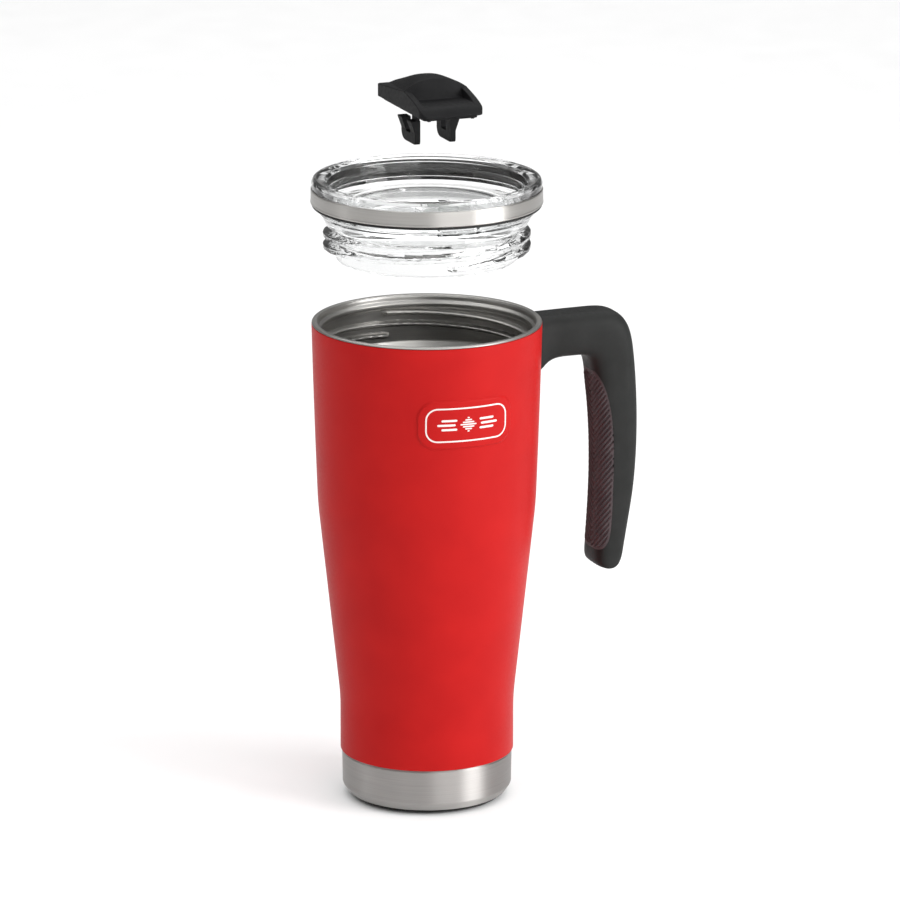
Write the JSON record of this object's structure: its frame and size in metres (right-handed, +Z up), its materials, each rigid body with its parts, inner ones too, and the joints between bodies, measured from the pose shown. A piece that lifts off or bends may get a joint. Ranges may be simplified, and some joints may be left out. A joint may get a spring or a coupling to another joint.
{
  "type": "insulated travel mug",
  "caption": "Tapered double-wall steel travel mug with an open-ended handle, a clear screw lid and a lift-out drinking slider, shown apart.",
  "frame": {"origin": "centre of the underside of the base pad, on the surface that the mug stands on", "axes": "+Z up along the mug, +X towards the handle, -Y the side with the emblem panel and the drinking opening"},
  "size_m": [0.1335, 0.0914, 0.2932],
  "materials": {
    "red_paint": "satin powder coat",
    "steel": "fine brushed",
    "seal_metal": "matt",
    "clear_plastic": "clear, polished",
    "clear_silicone": "translucent, matt",
    "charcoal_plastic": "fine texture",
    "grip_rubber": "matt, ribbed",
    "black_rubber": "matt"
  },
  "bodies": {
    "mug": {"outer_shell": "red_paint", "inner_liner": "steel", "liner_bottom": "steel", "base_cup": "steel", "base_disc": "steel", "evacuation_plug": "seal_metal", "getter": "seal_metal", "base_pad": "black_rubber", "handle": "charcoal_plastic", "grip_insert": "grip_rubber", "handle_bracket": "steel", "handle_screw_1": "steel", "handle_screw_2": "steel"},
    "gasket": {"lid_gasket": "black_rubber"},
    "lid": {"lid_body": "clear_plastic", "trim_ring": "steel"},
    "seal": {"slide_seal": "clear_silicone"},
    "slider": {"slider_cap": "charcoal_plastic", "slider_base": "charcoal_plastic"}
  },
  "joints": [
    {"name": "lid_lift", "type": "slide", "parent": "mug", "child": "gasket", "axis": [0, 0, 1], "range_m": [-0.0465, 0]},
    {"name": "lid_turn", "type": "hinge", "parent": "gasket", "child": "lid", "pos_m": [0, 0, 0.2408], "axis": [0, 0, 1], "range_deg": [-1800, 0]},
    {"name": "slider_slide", "type": "slide", "parent": "lid", "child": "seal", "axis": [0, -1, 0], "range_m": [0, 0.008]},
    {"name": "slider_lift", "type": "slide", "parent": "seal", "child": "slider", "axis": [0, 0, 1], "range_m": [-0.037, 0]}
  ],
  "couplings": [
    {"joint": "lid_lift", "follows": "lid_turn", "m_per_rad": 0.0014801}
  ]
}
